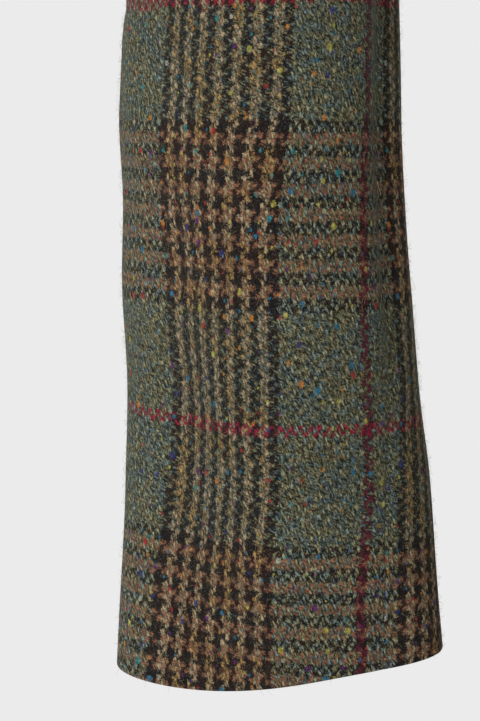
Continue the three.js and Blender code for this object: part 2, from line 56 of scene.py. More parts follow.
# Colours of the yarns. A list is a ramp: the ground runs from blue to olive, the dark yarns from
# navy to plum, the light strands of the tan warp from tan to gold. A pair is dark, then light.
GROUND_COLOURS = [
    (0.38, (0.068, 0.086, 0.078)),
    (0.47, (0.088, 0.100, 0.072)),
    (0.55, (0.098, 0.100, 0.058)),
    (0.64, (0.109, 0.097, 0.055)),
]
DARK_COLOURS = [
    (0.40, (0.009, 0.008, 0.010)),
    (0.50, (0.014, 0.009, 0.005)),
    (0.60, (0.020, 0.009, 0.009)),
]
WARP_TAN_DARK = (0.080, 0.055, 0.030)
WARP_TAN_LIGHTS = [
    (0.48, (0.37, 0.285, 0.175)),
    (0.62, (0.38, 0.235, 0.085)),
]
WEFT_TAN = ((0.095, 0.042, 0.024), (0.31, 0.145, 0.080))
WARP_BURGUNDY = ((0.030, 0.006, 0.011), (0.125, 0.012, 0.028))
WEFT_BURGUNDY = ((0.085, 0.006, 0.014), (0.34, 0.014, 0.050))
PALE_FIBRE = (0.36, 0.34, 0.25)
NEP_COLOURS = [
    (0.00, (0.018, 0.14, 0.24)),
    (0.20, (0.028, 0.036, 0.15)),
    (0.34, (0.48, 0.19, 0.035)),
    (0.50, (0.38, 0.35, 0.07)),
    (0.64, (0.10, 0.018, 0.12)),
    (0.74, (0.32, 0.025, 0.025)),
    (0.86, (0.030, 0.19, 0.20)),
    (0.97, (0.36, 0.36, 0.29)),
]

# How far noise shifts the yarns: from slow drift to the frizz of single fibres.
WANDERING = [
    {"scale": 30, "detail": 1, "ends": 1.6, "picks": 1.2},
    {"scale": 260, "detail": 1, "ends": 1.5, "picks": 1.1},
    {"scale": 1500, "detail": 2, "ends": 1.3, "picks": 1.3},
]
STRAND_SCALE = 1350
STRAND_SLANT = 0.4
STRAND_STRETCH = 0.34
STRAND_DARKEST = 0.36
STRAND_GAIN = 3.6

# The floats: how far a yarn rises where it passes over, and how round it is across.
FLUFF_SCALE = 1250
FLUFF_DEPTH = 2.4
YARN_RISE = 0.5
WARP_CROWN = 0.8
WEFT_CROWN = 0.42
WARP_LEAN = 0.22
WARP_LEAD = 0.02
OVER_GAIN = 1.1

# The marl of the green yarns: how much the strands lighten and darken them.
PATCH_SCALE = 75
PATCH_SHARE = 0.55
HUE_SCALE = 330
WARP_MARL = {"gain": 8.6, "middle": 1.2, "least": 0.2}
WEFT_MARL = {"gain": 7.2, "middle": 0.87, "least": 0.16}

# Two sizes of nep. Spread and radius are in millimetres. The shift, in metres, parts the two.
LARGE_NEPS = {"shift": 0.0, "spread": 7.6, "radius": 1.2, "share": 0.38, "strength": 0.9}
SMALL_NEPS = {"shift": 0.37, "spread": 4.8, "radius": 0.72, "share": 0.30, "strength": 0.75}
NEP_UPRIGHT = 1.3
NEP_EDGE = 15
NEP_RAGGED_SCALE = 1300
NEP_RAGGEDNESS = 0.2
NEP_LEAST_SIZE = 0.55
NEP_SIZE_RANGE = 0.75

# The milled face: shade between yarns, slow streaks, pale hairs, relief.
SHADE_GAIN = 0.6
SHADE_BASE = 0.3
STREAK_SCALE = 14
STREAK_DEPTH = 0.32
HAIR_SCALE = 900
HAIR_CURL = 2.5
HAIR_START = 0.6
HAIR_GAIN = 7
HAIR_STRENGTH = 0.16
RELIEF_SHARE = 0.7


class Reading:
    """A value read from a node. Arithmetic on it adds Math nodes."""

    def __init__(self, finish, socket):
        self.finish = finish
        self.socket = socket

    def maths(self, operation, *others, clamp=False):
        values = dict(enumerate((self,) + others))
        settings = {"operation": operation, "use_clamp": clamp}
        return self.finish.node("ShaderNodeMath", settings, values)

    def __add__(self, other):
        return self.maths("ADD", other)

    def __mul__(self, other):
        return self.maths("MULTIPLY", other)

    def __sub__(self, other):
        return self.maths("SUBTRACT", other)

    def __rsub__(self, other):
        return self * -1 + other

    def __truediv__(self, other):
        return self * (1 / other)

    def __lt__(self, other):
        return self.maths("LESS_THAN", other)

    def __gt__(self, other):
        return self.maths("GREATER_THAN", other)

    __radd__ = __add__
    __rmul__ = __mul__

    def held(self):
        return self.maths("ADD", 0.0, clamp=True)


class Finish:
    """A material under construction."""

    def __init__(self, name):
        self.material = bpy.data.materials.new(name)
        self.material.use_nodes = True
        self.tree = self.material.node_tree
        self.shader = self.tree.nodes["Principled BSDF"]

    def node(self, kind, settings, inputs, output=0):
        made = self.tree.nodes.new(kind)
        for key, value in settings.items():
            if key == "stops":
                self.set_stops(made.color_ramp, value)
            elif key == "interpolation" and kind == "ShaderNodeValToRGB":
                made.color_ramp.interpolation = value
            else:
                setattr(made, key, value)
        for key, value in inputs.items():
            self.feed(made.inputs[key], value)
        return Reading(self, made.outputs[output])

    def set_stops(self, ramp, stops):
        while len(ramp.elements) < len(stops):
            ramp.elements.new(1.0)
        for element, (position, colour) in zip(ramp.elements, stops):
            element.position = position
            element.color = (*colour, 1.0)

    def feed(self, socket, value):
        if isinstance(value, Reading):
            self.tree.links.new(value.socket, socket)
        elif isinstance(value, tuple) and socket.type == "RGBA":
            socket.default_value = (*value, 1.0)
        else:
            socket.default_value = value

    def mixed(self, factor, first, second, blend="MIX"):
        settings = {"data_type": "RGBA", "blend_type": blend}
        return self.node("ShaderNodeMix", settings, {0: factor, 6: first, 7: second}, 2)

    def noise(self, vector, scale, detail=2.0, output=0, distortion=0.0, dimensions="2D"):
        inputs = {"Vector": vector, "Scale": scale, "Detail": detail, "Distortion": distortion}
        return self.node("ShaderNodeTexNoise", {"noise_dimensions": dimensions}, inputs, output)

    def parts(self, vector):
        kind = "ShaderNodeSeparateXYZ"
        first = self.node(kind, {}, {0: vector})
        outputs = first.socket.node.outputs
        return [Reading(self, outputs[index]) for index in range(3)]

    def ramp(self, factor, stops, interpolation="LINEAR"):
        settings = {"stops": stops, "interpolation": interpolation}
        return self.node("ShaderNodeValToRGB", settings, {0: factor})

    def set_shader(self, **values):
        for name, value in values.items():
            self.feed(self.shader.inputs[name.replace("_", " ")], value)


def yarn_colour(finish, index, strand, ground, dark, tan, burgundy):
    """The colour of one yarn by its number in the check."""
    place = index.maths("FLOORED_MODULO", REPEAT)
    in_band = place < BAND_YARNS - HALF_YARN
    is_dark = place.maths("FLOORED_MODULO", DARK_TAN_REPEAT) < DARK_YARNS - HALF_YARN
    past_green = place > BURGUNDY_FIRST - HALF_YARN
    before_green = place < BURGUNDY_FIRST + BURGUNDY_YARNS - HALF_YARN
    is_burgundy = past_green * before_green
    light = ((strand - STRAND_DARKEST) * STRAND_GAIN).held()
    banded = finish.mixed(is_dark, finish.mixed(light, *tan), dark)
    colour = finish.mixed(in_band, ground, banded)
    return finish.mixed(is_burgundy, colour, finish.mixed(light, *burgundy))


def neps(finish, colour, u, v, shift, spread, radius, share, strength):
    """Small lumps of dyed wool that are carded into the yarn."""
    place = finish.node("ShaderNodeCombineXYZ", {}, {0: (u + shift) * NEP_UPRIGHT, 1: v, 2: 0.0})
    inputs = {"Vector": place, "Scale": 1 / (spread * MM), "Randomness": 1.0}
    cell = finish.node("ShaderNodeTexVoronoi", {"voronoi_dimensions": "2D"}, inputs, "Distance")
    drawn = Reading(finish, cell.socket.node.outputs["Color"])
    pick, hue, size = finish.parts(drawn)
    ragged = finish.noise(place, NEP_RAGGED_SCALE) - 0.5
    drawn_radius = (NEP_LEAST_SIZE + size * NEP_SIZE_RANGE) * (radius / spread)
    reach = drawn_radius + ragged * NEP_RAGGEDNESS
    inside = ((reach - cell) * NEP_EDGE).held() * (pick < share)
    dye = finish.ramp(hue, NEP_COLOURS, "CONSTANT")
    return finish.mixed(inside * strength, colour, dye)


def scaled(finish, colour, factor):
    grey = finish.node("ShaderNodeCombineXYZ", {}, {0: factor, 1: factor, 2: factor})
    return finish.mixed(1.0, colour, grey, "MULTIPLY")


def marled(finish, ground, strand, gain, middle, least):
    return scaled(finish, ground, ((strand - 0.5) * gain + middle).maths("MAXIMUM", least))


def strands(finish, along, across):
    """Streaks that lie along a yarn and lean with its twist."""
    lay = {0: across + along * STRAND_SLANT, 1: along * STRAND_STRETCH, 2: 0.0}
    return finish.noise(finish.node("ShaderNodeCombineXYZ", {}, lay), STRAND_SCALE)


def tweed_finish(name):
    """Plain weave in the shader: which yarn lies on top, its colour, then the milled face with
    painted shade between the yarns.
    """
    finish = Finish(name)
    place = finish.node("ShaderNodeUVMap", {"uv_map": "weave"}, {})
    u, v, _ = finish.parts(place)
    ends = u / (END_PITCH * MM)
    picks = v / (PICK_PITCH * MM)
    for layer in WANDERING:
        shift = finish.noise(place, layer["scale"], layer["detail"], "Color")
        shift_u, shift_v, _ = finish.parts(shift)
        ends = ends + (shift_u - 0.5) * layer["ends"]
        picks = picks + (shift_v - 0.5) * layer["picks"]
    end = ends.maths("FLOOR")
    pick = picks.maths("FLOOR")
    beside = ends - end - HALF_YARN
    above = picks - pick - HALF_YARN
    sign = 1 - (end + pick).maths("FLOORED_MODULO", 2) * 2

    fluff = finish.noise(place, FLUFF_SCALE, 3.0)
    warp_strand = strands(finish, v, u)
    weft_strand = strands(finish, u, v)
    leaning = beside + above * WARP_LEAN
    warp_arch = (above * math.pi).maths("COSINE") * sign
    weft_arch = (beside * math.pi).maths("COSINE") * sign * -1
    warp_height = warp_arch * YARN_RISE + (1 - leaning * leaning * 4) * WARP_CROWN + WARP_LEAD
    weft_height = weft_arch * YARN_RISE + (1 - above * above * 4) * WEFT_CROWN
    lead = warp_height - weft_height + (fluff - 0.5) * FLUFF_DEPTH
    over = (lead * OVER_GAIN + 0.5).held()
    relief = warp_height.maths("MAXIMUM", weft_height)

    patch = finish.noise(place, PATCH_SCALE)
    hue = finish.noise(place, HUE_SCALE) + (patch - 0.5) * PATCH_SHARE
    warp_tan = (WARP_TAN_DARK, finish.ramp(patch, WARP_TAN_LIGHTS))
    ground = finish.ramp(hue, GROUND_COLOURS)
    warp_ground = marled(finish, ground, warp_strand, **WARP_MARL)
    weft_ground = marled(finish, ground, weft_strand, **WEFT_MARL)
    dark = finish.ramp(hue, DARK_COLOURS)
    warp = yarn_colour(finish, end, warp_strand, warp_ground, dark, warp_tan, WARP_BURGUNDY)
    weft = yarn_colour(finish, pick, weft_strand, weft_ground, dark, WEFT_TAN, WEFT_BURGUNDY)
    colour = finish.mixed(over, weft, warp)
    colour = neps(finish, colour, u, v, **LARGE_NEPS)
    colour = neps(finish, colour, u, v, **SMALL_NEPS)

    # Painted shade: the colour is darkened where the yarns and their fluff lie low, as between the
    # yarns.
    shade = (relief * SHADE_GAIN + SHADE_BASE).held() * (0.5 + fluff)
    streak = finish.noise(place, STREAK_SCALE) * STREAK_DEPTH + (1 - STREAK_DEPTH / 2)
    colour = scaled(finish, colour, shade * streak)
    hair = finish.noise(place, HAIR_SCALE, distortion=HAIR_CURL)
    nap = ((hair - HAIR_START) * HAIR_GAIN).held() * HAIR_STRENGTH
    colour = finish.mixed(nap, colour, PALE_FIBRE)

    depth = relief * RELIEF_SHARE + fluff * RELIEF_SHARE
    bump = finish.node("ShaderNodeBump", {},
                       {"Strength": 0.6, "Distance": 0.6 * MM, "Height": depth})
    finish.set_shader(Base_Color=colour, Normal=bump, Roughness=0.92, Specular_IOR_Level=0.1,
                      Sheen_Weight=0.09, Sheen_Roughness=0.45, Sheen_Tint=(0.75, 0.78, 0.62))
    return finish.material


tweed = tweed_finish("tweed")

# Body
# Fronts, side bodies and backs, cut from one cloth and sewn together. The left front laps over
# the right one. Each is a wall of cloth on the form of its solid, with soft drag folds.

WALL = 2.0
SEAM_TOUCH = 0.01
LAY_GAP = 0.8
OVERLAP_GAP = 1.7
STEP = 0.004
NORMAL_REACH = 100
STEPS_UP = 25
STEPS_ROUND = 33
BEVEL_WIDTH = 0.22
BEVEL_ANGLE = 50
FRONT_FIRST_END = -6
BACK_FIRST_END = 14.5
SIDE_FIRST_END = 49

HEM_HEIGHT = -722
HEM_DIP_AT_FRONT = 8
OVERLAP_LIFT_START = 22
OVERLAP_LIFT_END = 62
SIDE_FRONT_SEAM = 72
SIDE_BACK_SEAM = 108
ARMHOLE_MIDDLE_HEIGHT = -131.5
ARMHOLE_HALF_HEIGHT = 83.5
ARMHOLE_HALF_ANGLE = 28
GORGE_HEIGHT = -45
ROLL_TOP_ACROSS = 72
NECK_HALF_WIDTH = 76
LEFT_ROLL_START = -395
SEAM_SHARE = 0.6
EDGE_MIDDLE_HEIGHT = -205
SHOULDER_LINE = -140
BURGUNDY_HEIGHT = -572
NECK_START_SHARE = 0.86
CORNER_EASE = 1.6

# Sizes round the body at each height: half the width, depth in front and behind, how square.
BODY_SECTIONS = {
    "height": (-740, -620, -520, -420, -320, -215, -140, -80, -48, -24, 0),
    "half": (202, 194, 181, 167, 172, 177, 190, 204, 205, 141, NECK_HALF_WIDTH),
    "front": (139, 133, 125, 118, 128, 134, 119, 95, 78, 62, 42),
    "back": (133, 131, 120, 106, 118, 128, 122, 107, 94, 81, 68),
    "square": (2.4, 2.4, 2.4, 2.4, 2.45, 2.45, 2.4, 2.35, 2.3, 2.2, 2.05),
    "lean": (0, 0, 0, 0, 0, 0.01, 0.05, 0.1, 0.13, 0.17, 0.2),
}
FRONT_EDGE = {
    "height": (-731, -724, -704, -668, -600, -520, LEFT_ROLL_START, -220, GORGE_HEIGHT, 0),
    "across": (92, 58, 34, 14, -6, -17, -17, 27, ROLL_TOP_ACROSS, NECK_HALF_WIDTH),
}

# Folds are those of the solid. Creases are finer and are in this scene alone.
FOLD_COLUMNS = ("around", "height", "tilt", "length", "width", "depth")
BODY_FOLDS = [
    (24, -388, 64, 62, 10, -3),
    (30, -436, -68, 70, 11, -3),
    (50, -285, 18, 80, 14, -4),
    (62, -620, 6, 90, 18, -4),
    (124, -310, -12, 75, 15, -5),
    (132, -430, 70, 60, 12, -4),
    (140, -610, 5, 110, 22, -5),
    (165, -395, 78, 48, 12, -3),
]
BODY_CREASES = [
    (18, -372, 58, 40, 6, -1.4),
    (40, -404, 70, 44, 7, -1.6),
    (66, -240, 24, 50, 8, -1.6),
    (36, -660, -8, 60, 12, -1.5),
    (88, -400, 76, 36, 8, -1.8),
    (100, -455, -70, 40, 9, -1.6),
    (118, -250, 30, 52, 9, -2),
    (152, -180, 14, 60, 12, -1.6),
    (150, -470, -66, 44, 9, -1.6),
]


def hermite(t):
    """The shares of the start, its slope, the end and its slope, at t of a curve."""
    return (2 * t ** 3 - 3 * t ** 2 + 1, t ** 3 - 2 * t ** 2 + t,
            3 * t ** 2 - 2 * t ** 3, t ** 3 - t ** 2)


def curve(stops, values, at):
    """A curve through a column of a table that never swings past its rows."""
    stops = np.asarray(stops, float)
    values = np.asarray(values, float)
    rise = np.diff(values) / np.diff(stops)
    product = rise[:-1] * rise[1:]
    total = np.where(product > 0, rise[:-1] + rise[1:], 1.0)
    slope = np.concatenate([rise[:1], np.where(product > 0, 2 * product / total, 0), rise[-1:]])
    held = np.clip(at, stops[0], stops[-1])
    low = np.clip(np.searchsorted(stops, held) - 1, 0, len(stops) - 2)
    span = stops[low + 1] - stops[low]
    start, start_slope, end, end_slope = hermite((held - stops[low]) / span)
    return (values[low] * start + slope[low] * span * start_slope
            + values[low + 1] * end + slope[low + 1] * span * end_slope)


def row_at(table, height):
    return {name: curve(table["height"], table[name], height)
            for name in table if name != "height"}


def mix(start, end, share):
    return start + (end - start) * share


def smooth(start, end, value):
    t = np.clip((value - start) / (end - start), 0, 1)
    return t * t * (3 - 2 * t)


def unit(vectors):
    return vectors / np.maximum(np.linalg.norm(vectors, axis=-1, keepdims=True), 1e-9)


def spot(x, y, z):
    return np.stack(np.broadcast_arrays(x, y, z), axis=-1).astype(float)


def sin(angle):
    return np.sin(np.radians(angle))


def cos(angle):
    return np.cos(np.radians(angle))


def times(scale, vectors):
    return np.asarray(scale)[..., None] * vectors


def fold_depth(folds, around, height, radius):
    """How far a table of soft troughs and ridges moves the cloth at a place."""
    depth = 0.0
    for fold in folds:
        row = dict(zip(FOLD_COLUMNS, fold))
        turn = (around - row["around"] + 540) % 360 - 180
        side = np.radians(turn) * radius
        rise = height - row["height"]
        along = rise * cos(row["tilt"]) + side * sin(row["tilt"])
        over = side * cos(row["tilt"]) - rise * sin(row["tilt"])
        fall = np.exp(-((over / row["width"]) ** 2) - (along / row["length"]) ** 4)
        depth = depth + row["depth"] * fall
    return depth


def signed_power(value, power):
    return np.sign(value) * np.abs(value) ** power


def body_point(angle, height, folded=True):
    """A point of the body. angle is 0 in front, 90 at the side and 180 behind."""
    section = row_at(BODY_SECTIONS, height)
    power = 2 / section["square"]
    push = 0.0
    if folded:
        push = fold_depth(BODY_FOLDS + BODY_CREASES, np.abs(angle), height, section["half"])
    depth = np.where(cos(angle) > 0, section["front"], section["back"])
    x = (section["half"] + push) * signed_power(sin(angle), power)
    y = -(depth + push) * signed_power(cos(angle), power)
    return spot(x, y, height + section["lean"] * y)


def normal_of(face, u, v):
    along = face(u + STEP, v) - face(u - STEP, v)
    up = face(u, v + STEP) - face(u, v - STEP)
    return unit(np.cross(along, up))


def body_normal(angle, height):
    def near(u, v):
        return body_point(angle + NORMAL_REACH * u, height + NORMAL_REACH * v)

    return normal_of(near, 0.0, 0.0)


def angle_across(across, height):
    section = row_at(BODY_SECTIONS, height)
    share = np.minimum(np.abs(across) / section["half"], 1)
    return np.sign(across) * np.degrees(np.arcsin(share ** (section["square"] / 2)))


def front_point(angle, height, out, is_upper):
    """A point of a front, lifted where the left front laps over the right one."""
    point = body_point(angle, height)
    if is_upper:
        lap = 1 - smooth(OVERLAP_LIFT_START, OVERLAP_LIFT_END, point[..., 0])
        out = out + (WALL + OVERLAP_GAP) * lap
    return point + times(np.broadcast_to(out, point.shape[:-1]), body_normal(angle, height))


def hem_height(angle):
    return HEM_HEIGHT - HEM_DIP_AT_FRONT * np.maximum(0, cos(angle)) ** 2


def armhole_angle(turn):
    return 90 - ARMHOLE_HALF_ANGLE * cos(turn)


def armhole_height(turn):
    return ARMHOLE_MIDDLE_HEIGHT + ARMHOLE_HALF_HEIGHT * sin(turn)


def armhole_turn_at(angle):
    return np.degrees(np.arccos((90 - angle) / ARMHOLE_HALF_ANGLE))


def outer_edge(v, seam, seam_turn):
    """The side edge of a front or a back: its seam up to the armhole, then the armhole."""
    lower = np.clip(v / SEAM_SHARE, 0, 1)
    upper = np.clip((v - SEAM_SHARE) / (1 - SEAM_SHARE), 0, 1)
    turn = mix(seam_turn, 90, upper)
    below = v < SEAM_SHARE
    seam_height = mix(hem_height(seam), armhole_height(seam_turn), lower)
    return (np.where(below, seam, armhole_angle(turn)),
            np.where(below, seam_height, armhole_height(turn)))


def front_place(u, v):
    lower = np.clip(v / SEAM_SHARE, 0, 1)
    upper = np.clip((v - SEAM_SHARE) / (1 - SEAM_SHARE), 0, 1)
    edge_height = np.where(
        v < SEAM_SHARE,
        mix(FRONT_EDGE["height"][0], EDGE_MIDDLE_HEIGHT, lower ** CORNER_EASE),
        EDGE_MIDDLE_HEIGHT * (1 - upper) ** CORNER_EASE,
    )
    across = curve(FRONT_EDGE["height"], FRONT_EDGE["across"], edge_height)
    edge_angle = angle_across(across, edge_height)
    angle, height = outer_edge(v, SIDE_FRONT_SEAM, -armhole_turn_at(SIDE_FRONT_SEAM))
    return mix(edge_angle, angle, u), mix(edge_height, height, u)


def back_place(u, v):
    neck_share = np.clip((v - NECK_START_SHARE) / (1 - NECK_START_SHARE), 0, 1)
    inner_angle = np.where(v < NECK_START_SHARE, 180, mix(180, 90, neck_share))
    inner_height = np.where(v < NECK_START_SHARE, HEM_HEIGHT * (1 - v / NECK_START_SHARE), 0)
    angle, height = outer_edge(v, SIDE_BACK_SEAM, 360 - armhole_turn_at(SIDE_BACK_SEAM))
    return mix(inner_angle, angle, u), mix(inner_height, height, u)


def side_place(u, v):
    angle = mix(SIDE_FRONT_SEAM, SIDE_BACK_SEAM, u)
    return angle, mix(hem_height(angle), armhole_height(-armhole_turn_at(angle)), v)


def stepped(count, like):
    """Shares from 0 to 1, along an axis before those of an array."""
    return np.linspace(0, 1, count).reshape((-1,) + (1,) * np.ndim(like))


def grain_height(x, height, is_front):
    """How far up the warp a place of the body lies, over the slope of the shoulders too."""
    steps = stepped(STEPS_UP, height)
    rise = mix(SHOULDER_LINE, np.maximum(height, SHOULDER_LINE), steps)
    section = row_at(BODY_SECTIONS, rise)
    share = np.minimum(np.abs(x) / section["half"], 1)
    depth = section["front" if is_front else "back"]
    y = depth * (1 - share ** section["square"]) ** (1 / section["square"])
    path = np.hypot(np.diff(y, axis=0), np.diff(rise, axis=0)).sum(axis=0)
    return np.where(height < SHOULDER_LINE, height, SHOULDER_LINE + path)


def grain_across(angle, height, start):
    """How far round the body a place lies from the middle of its panel."""
    level = np.broadcast_to(height, angle.shape)
    points = body_point(mix(start, angle, stepped(STEPS_ROUND, height)), level, folded=False)
    length = np.linalg.norm(np.diff(points, axis=0), axis=-1).sum(axis=0)
    return np.sign(angle - start) * length


def picks_at(height):
    return (height - BURGUNDY_HEIGHT) + (BURGUNDY_FIRST + 1) * PICK_PITCH


def body_grain(place, start, first_end):
    def grain(u, v, points):
        angle, height = place(u, v)
        x = np.abs(body_point(angle, height, folded=False)[..., 0])
        across = grain_across(angle, height, start)
        return first_end * END_PITCH + across, picks_at(grain_height(x, height, start < 90))
    return grain


def along_edges(points):
    """Distances over a grid of points, along its rows and along its columns."""
    across = np.linalg.norm(np.diff(points, axis=1), axis=-1)
    up = np.linalg.norm(np.diff(points, axis=0), axis=-1)
    across = np.concatenate([np.zeros((len(points), 1)), np.cumsum(across, axis=1)], axis=1)
    up = np.concatenate([np.zeros((1, points.shape[1])), np.cumsum(up, axis=0)], axis=0)
    return across, up


EDGE_ROWS = {
    "left": (np.s_[:, 0], np.s_[:, 1]),
    "right": (np.s_[:, -1], np.s_[:, -2]),
    "bottom": (np.s_[0], np.s_[1]),
    "top": (np.s_[-1], np.s_[-2]),
}


def linked(name, mesh, material):
    """A piece in the scene that rides with the blazer's one body, with the given material in its
    slot.
    """
    piece = bpy.data.objects.new(name, mesh)
    bpy.context.scene.collection.objects.link(piece)
    piece.data.materials.append(material)
    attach(piece, "root")
    return piece


def cloth_piece(name, face, grain, columns, rows, side=1, flip=False, trim=()):
    """A wall of cloth on a face. side -1 makes the piece for the wearer's right. The UV map
    says where each place lies in the weave, in metres across the ends and along the picks."""
    shell = bmesh.new()
    bmesh.ops.create_grid(shell, x_segments=columns, y_segments=rows, size=1.0)
    if side * (-1 if flip else 1) < 0:
        bmesh.ops.reverse_faces(shell, faces=shell.faces[:])
    mesh = bpy.data.meshes.new(name)
    shell.to_mesh(mesh)
    shell.free()
    flat = np.empty(len(mesh.vertices) * 3)
    mesh.vertices.foreach_get("co", flat)
    flat = flat.reshape(-1, 3)
    column = np.rint((flat[:, 0] + 1) / 2 * columns).astype(int)
    row = np.rint((flat[:, 1] + 1) / 2 * rows).astype(int)
    v, u = np.meshgrid(np.linspace(0, 1, rows + 1), np.linspace(0, 1, columns + 1), indexing="ij")
    points = face(u, v)
    ends, picks = grain(u, v, points)
    for edge in trim:
        outer, inner = EDGE_ROWS[edge]
        points[outer] += unit(points[inner] - points[outer]) * SEAM_TOUCH
    points[..., 0] *= side
    mesh.vertices.foreach_set("co", (points[row, column] * MM).ravel())
    loops = np.empty(len(mesh.loops), dtype=np.int32)
    mesh.loops.foreach_get("vertex_index", loops)
    weave = np.stack([ends[row, column], picks[row, column]], axis=-1)[loops] * MM
    mesh.uv_layers.new(name="weave").data.foreach_set("uv", weave.ravel())
    mesh.shade_smooth()
    mesh.update()
    piece = linked(name, mesh, tweed)
    wall = piece.modifiers.new("wall", "SOLIDIFY")
    wall.thickness = WALL * MM
    wall.offset = -1
    edge = piece.modifiers.new("edge", "BEVEL")
    edge.width = BEVEL_WIDTH * MM
    edge.segments = 2
    edge.limit_method = "ANGLE"
    edge.angle_limit = math.radians(BEVEL_ANGLE)
    return piece


def side_name(side):
    return "left" if side > 0 else "right"


for side in (1, -1):
    def front_face(u, v, is_upper=side > 0):
        angle, height = front_place(u, v)
        return front_point(angle, height, 0.0, is_upper)

    def back_face(u, v):
        return body_point(*back_place(u, v))

    def side_face(u, v):
        return body_point(*side_place(u, v))

    front = cloth_piece(
        f"front_{side_name(side)}_cloth", front_face,
        body_grain(front_place, 0, FRONT_FIRST_END), columns=64, rows=110, side=side,
        trim=("left", "right", "top"))
    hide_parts(f"front_{side_name(side)}")
    side_body = cloth_piece(
        f"side_{side_name(side)}_cloth", side_face,
        body_grain(side_place, 90, SIDE_FIRST_END), columns=30, rows=90, side=side,
        trim=("left", "right", "top"))
    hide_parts(f"side_{side_name(side)}")
    back = cloth_piece(
        f"back_{side_name(side)}_cloth", back_face,
        body_grain(back_place, 180, BACK_FIRST_END), columns=56, rows=110, side=side, flip=True,
        trim=("left", "right", "top"))
    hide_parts(f"back_{side_name(side)}")

# Lapels
# The turned-out tops of the fronts: the cloth folds over at the roll line and lies on the chest.
# The left roll line starts lower, above button_1, and the right one where the left lapel hides it.

RIGHT_ROLL_START = -294
LAPEL_TIP = (151, -87)
LAPEL_FOLD_RADIUS = 3
TURN_GAP = 0.6
LAPEL_FOOT_WIDTH = 14
LAPEL_BULGE = 1.8
LAPEL_STAND = {"stand": 0.2, "stand_share": 0.02, "fold_share": 0.28}
LAPEL_EDGE = {
    "height": (-395, -330, -250, -160, LAPEL_TIP[1]),
    "across": (0, 48, 92, 128, LAPEL_TIP[0]),
}


def turned_edge(root, open_way, normal, stand, radius, stand_share, fold_share, fall_point, t):
    """Cloth turned over towards its face: a stand, a half round, then the fall."""
    up = np.clip(t / stand_share, 0, 1)
    turn = np.pi * np.clip((t - stand_share) / fold_share, 0, 1)
    along = stand * up + radius * np.sin(turn)
    out = radius * (1 - np.cos(turn))
    turned = root + times(along, open_way) + times(out, normal)
    fall_start = stand_share + fold_share
    fall = fall_point(np.clip((t - fall_start) / (1 - fall_start), 0, 1))
    return np.where((t < fall_start)[..., None], turned, fall)


def front_edge_frame(height, is_upper):
    across = curve(FRONT_EDGE["height"], FRONT_EDGE["across"], height)
    point = front_point(angle_across(across, height), height, 0.0, is_upper)
    beside = front_point(angle_across(across - 1, height), height, 0.0, is_upper)
    open_way = unit(beside - point)
    raw = body_normal(angle_across(across, height), height)
    normal = unit(raw - times((raw * open_way).sum(axis=-1), open_way))
    return across, point, open_way, normal


def lapel_face(is_upper):
    start = LEFT_ROLL_START if is_upper else RIGHT_ROLL_START

    def face(u, v):
        roll_height = mix(start, GORGE_HEIGHT, v)
        across, point, open_way, normal = front_edge_frame(roll_height, is_upper)
        edge_height = mix(start, LAPEL_TIP[1], v)
        shift = (LAPEL_EDGE["height"][0] - start) * (1 - v)
        width = curve(LAPEL_EDGE["height"], LAPEL_EDGE["across"], edge_height + shift)
        foot = curve(FRONT_EDGE["height"], FRONT_EDGE["across"], start) + LAPEL_FOOT_WIDTH
        edge_across = np.maximum(width, foot)
        root = point + open_way * TURN_GAP - normal * WALL

        def fall(t):
            fall_across = mix(across, edge_across, t)
            height = mix(roll_height, edge_height, t)
            out = mix(2 * LAPEL_FOLD_RADIUS - WALL, LAY_GAP + WALL, t)
            out = out + LAPEL_BULGE * np.sin(np.pi * t)
            return front_point(angle_across(fall_across, height), height, out, is_upper)

        return turned_edge(root, open_way, normal, radius=LAPEL_FOLD_RADIUS, fall_point=fall, t=u,
                           **LAPEL_STAND)

    return face


def laid_grain(first_end, first_pick):
    def grain(u, v, points):
        across, up = along_edges(points)
        middle = up[:, up.shape[1] // 2][:, None]
        return first_end * END_PITCH + across, first_pick * PICK_PITCH + middle + 0 * u
    return grain


for side in (1, -1):
    lapel = cloth_piece(f"lapel_{side_name(side)}_cloth", lapel_face(side > 0),
                        laid_grain(first_end=40, first_pick=8), columns=56, rows=90, side=side,
                        trim=("top",))
    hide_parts(f"lapel_{side_name(side)}")

# Collar
# Stand and fall in one turned piece, sewn to the neck edge and to the tops of the lapels. It is
# made from the centre back to each tip, where it leaves a notch above the lapel.

NOTCH = (113, -67)
COLLAR_TIP = (131, -43)
COLLAR_SIDE_SHARE = 0.5
COLLAR_TIP_SHARE = 0.88
COLLAR_OPENNESS = 0.2
GORGE_START_SHARE = 0.02
COLLAR_EXTRA_LAY = 0.4
COLLAR_BULGE = 3.2
COLLAR_SHAPE = {
    "height": (0, 0.25, 0.5, 0.7, 0.88, 1),
    "stand": (30, 29, 24, 12, 3, 0.4),
    "radius": (4.2, 4.2, 4, 3.4, 2.8, LAPEL_FOLD_RADIUS),
}
TIP_ANGLE = float(angle_across(*COLLAR_TIP))
NOTCH_ANGLE = float(angle_across(*NOTCH))
COLLAR_OUTER = {
    "height": (0, 0.25, 0.5, 0.7, COLLAR_TIP_SHARE),
    "angle": (180, 140, 93, 60, TIP_ANGLE),
    "rise": (-30, -27, -15, -24, COLLAR_TIP[1]),
}


